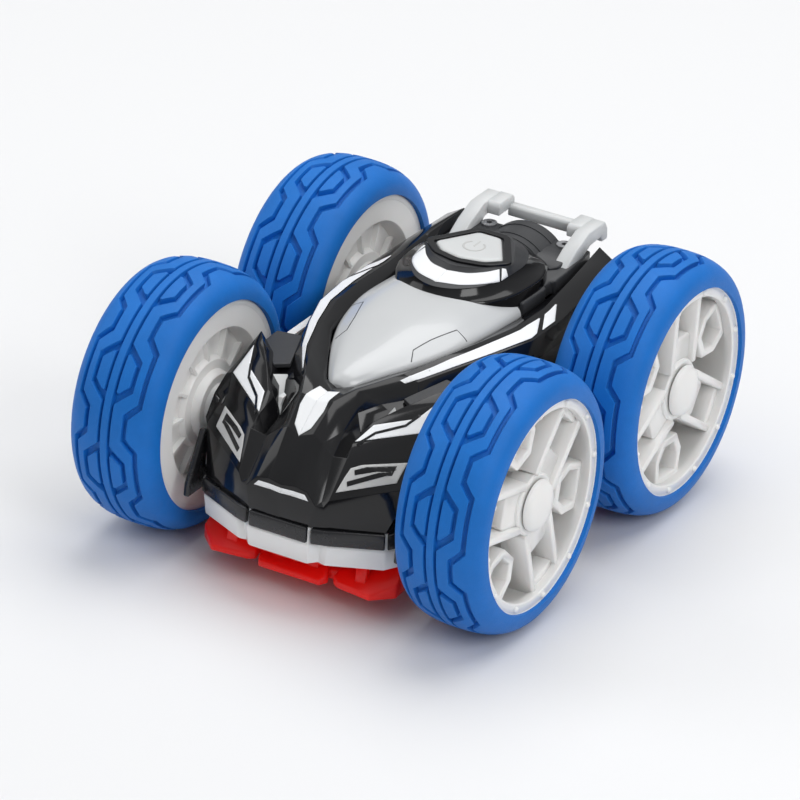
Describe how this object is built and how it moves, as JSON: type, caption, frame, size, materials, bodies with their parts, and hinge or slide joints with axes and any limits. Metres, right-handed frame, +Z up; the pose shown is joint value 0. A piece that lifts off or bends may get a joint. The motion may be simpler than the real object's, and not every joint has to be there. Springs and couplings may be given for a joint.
{
  "type": "radio controlled stunt car",
  "caption": "Palm-sized two-sided radio controlled stunt car: a flat moulded body between large spoked wheels in treaded tyres, with side gear trains and a power button.",
  "frame": {"origin": "on the ground, midway between the four wheels", "axes": "+Z up, the nose points along -Y, the car's left side is +X"},
  "size_m": [0.0862, 0.104, 0.05],
  "materials": {
    "black_shell": "high gloss black",
    "silver_canopy": "glossy light grey with a faint metallic cast",
    "dark_deck": "fine matte charcoal",
    "grey_parts": "satin light grey",
    "black_belt": "satin black",
    "white_frame": "semi-gloss white",
    "red_shell": "glossy red, slightly translucent at the edges",
    "tyre_blue": "matte moulded rubber",
    "white_rim": "semi-gloss white",
    "steel": "plain zinc-plated steel",
    "inner_plastic": "plain moulding",
    "nylon": "natural nylon",
    "brass": "turned brass",
    "board": "green circuit board",
    "battery_wrap": "silver foil cell with a tape edge",
    "wire_black": "insulated lead",
    "wire_red": "insulated lead"
  },
  "bodies": {
    "chassis": {"hood_shell": "black_shell", "canopy": "silver_canopy", "rear_deck": "dark_deck", "button_bezel": "black_shell", "roll_bar": "grey_parts", "deck_screws": "steel", "front_bumper": "black_belt", "mid_frame": "white_frame", "bottom_shell": "red_shell", "shell_screws": "steel", "circuit_board": "board", "battery": "battery_wrap", "power_switch": "black_belt", "charge_socket": "black_belt", "antenna_wire": "wire_black", "motor_leads": "wire_red", "motor_left": "steel", "motor_right": "steel", "gear_plate_left": "inner_plastic", "gear_plate_right": "inner_plastic", "gear_cover_left": "inner_plastic", "gear_cover_right": "inner_plastic", "gear_pins": "steel", "axle_bushes": "nylon"},
    "power_button": {"power_button": "grey_parts", "switch_plunger": "nylon"},
    "wheel_front_left": {"tyre_front_left": "tyre_blue", "rim_front_left": "white_rim", "inner_disc_front_left": "white_rim", "hub_cap_front_left": "white_rim", "wheel_screw_front_left": "steel", "axle_front_left": "steel"},
    "idler_front_left": {"idler_front_left": "nylon"},
    "wheel_rear_left": {"tyre_rear_left": "tyre_blue", "rim_rear_left": "white_rim", "inner_disc_rear_left": "white_rim", "hub_cap_rear_left": "white_rim", "wheel_screw_rear_left": "steel", "axle_rear_left": "steel"},
    "idler_rear_left": {"idler_rear_left": "nylon"},
    "drive_gear_left": {"drive_gear_left": "nylon"},
    "pinion_left": {"pinion_left": "brass"},
    "wheel_front_right": {"tyre_front_right": "tyre_blue", "rim_front_right": "white_rim", "inner_disc_front_right": "white_rim", "hub_cap_front_right": "white_rim", "wheel_screw_front_right": "steel", "axle_front_right": "steel"},
    "idler_front_right": {"idler_front_right": "nylon"},
    "wheel_rear_right": {"tyre_rear_right": "tyre_blue", "rim_rear_right": "white_rim", "inner_disc_rear_right": "white_rim", "hub_cap_rear_right": "white_rim", "wheel_screw_rear_right": "steel", "axle_rear_right": "steel"},
    "idler_rear_right": {"idler_rear_right": "nylon"},
    "drive_gear_right": {"drive_gear_right": "nylon"},
    "pinion_right": {"pinion_right": "brass"}
  },
  "joints": [
    {"name": "wheel_front_left_spin", "type": "hinge", "parent": "chassis", "child": "wheel_front_left", "pos_m": [0.03403, -0.027, 0.025], "axis": [1, 0, 0], "continuous": true},
    {"name": "idler_front_left_spin", "type": "hinge", "parent": "chassis", "child": "idler_front_left", "pos_m": [0.0163, -0.0138, 0.025], "axis": [1, 0, 0], "continuous": true},
    {"name": "wheel_rear_left_spin", "type": "hinge", "parent": "chassis", "child": "wheel_rear_left", "pos_m": [0.03403, 0.027, 0.025], "axis": [1, 0, 0], "continuous": true},
    {"name": "idler_rear_left_spin", "type": "hinge", "parent": "chassis", "child": "idler_rear_left", "pos_m": [0.0163, 0.0138, 0.025], "axis": [1, 0, 0], "continuous": true},
    {"name": "drive_gear_left_spin", "type": "hinge", "parent": "chassis", "child": "drive_gear_left", "pos_m": [0.015, 0, 0.025], "axis": [1, 0, 0], "continuous": true},
    {"name": "pinion_left_spin", "type": "hinge", "parent": "chassis", "child": "pinion_left", "pos_m": [0.0125, -0.01143, 0.0184], "axis": [1, 0, 0], "continuous": true},
    {"name": "wheel_front_right_spin", "type": "hinge", "parent": "chassis", "child": "wheel_front_right", "pos_m": [-0.03403, -0.027, 0.025], "axis": [1, 0, 0], "continuous": true},
    {"name": "idler_front_right_spin", "type": "hinge", "parent": "chassis", "child": "idler_front_right", "pos_m": [-0.0163, -0.0138, 0.025], "axis": [1, 0, 0], "continuous": true},
    {"name": "wheel_rear_right_spin", "type": "hinge", "parent": "chassis", "child": "wheel_rear_right", "pos_m": [-0.03403, 0.027, 0.025], "axis": [1, 0, 0], "continuous": true},
    {"name": "idler_rear_right_spin", "type": "hinge", "parent": "chassis", "child": "idler_rear_right", "pos_m": [-0.0163, 0.0138, 0.025], "axis": [1, 0, 0], "continuous": true},
    {"name": "drive_gear_right_spin", "type": "hinge", "parent": "chassis", "child": "drive_gear_right", "pos_m": [-0.015, 0, 0.025], "axis": [1, 0, 0], "continuous": true},
    {"name": "pinion_right_spin", "type": "hinge", "parent": "chassis", "child": "pinion_right", "pos_m": [-0.0125, 0.01143, 0.0184], "axis": [1, 0, 0], "continuous": true},
    {"name": "power_button_press", "type": "slide", "parent": "chassis", "child": "power_button", "axis": [0, 0, -1], "range_m": [0, 0.0008], "stiffness_N_per_m": 600, "springref_m": -0.0006}
  ],
  "couplings": [
    {"joint": "wheel_rear_left_spin", "follows": "wheel_front_left_spin", "ratio": 1},
    {"joint": "idler_front_left_spin", "follows": "wheel_front_left_spin", "ratio": -1.2},
    {"joint": "idler_rear_left_spin", "follows": "wheel_front_left_spin", "ratio": -1.2},
    {"joint": "drive_gear_left_spin", "follows": "wheel_front_left_spin", "ratio": 0.92308},
    {"joint": "pinion_left_spin", "follows": "wheel_front_left_spin", "ratio": -3.1385},
    {"joint": "wheel_rear_right_spin", "follows": "wheel_front_right_spin", "ratio": 1},
    {"joint": "idler_front_right_spin", "follows": "wheel_front_right_spin", "ratio": -1.2},
    {"joint": "idler_rear_right_spin", "follows": "wheel_front_right_spin", "ratio": -1.2},
    {"joint": "drive_gear_right_spin", "follows": "wheel_front_right_spin", "ratio": 0.92308},
    {"joint": "pinion_right_spin", "follows": "wheel_front_right_spin", "ratio": -3.1385}
  ]
}
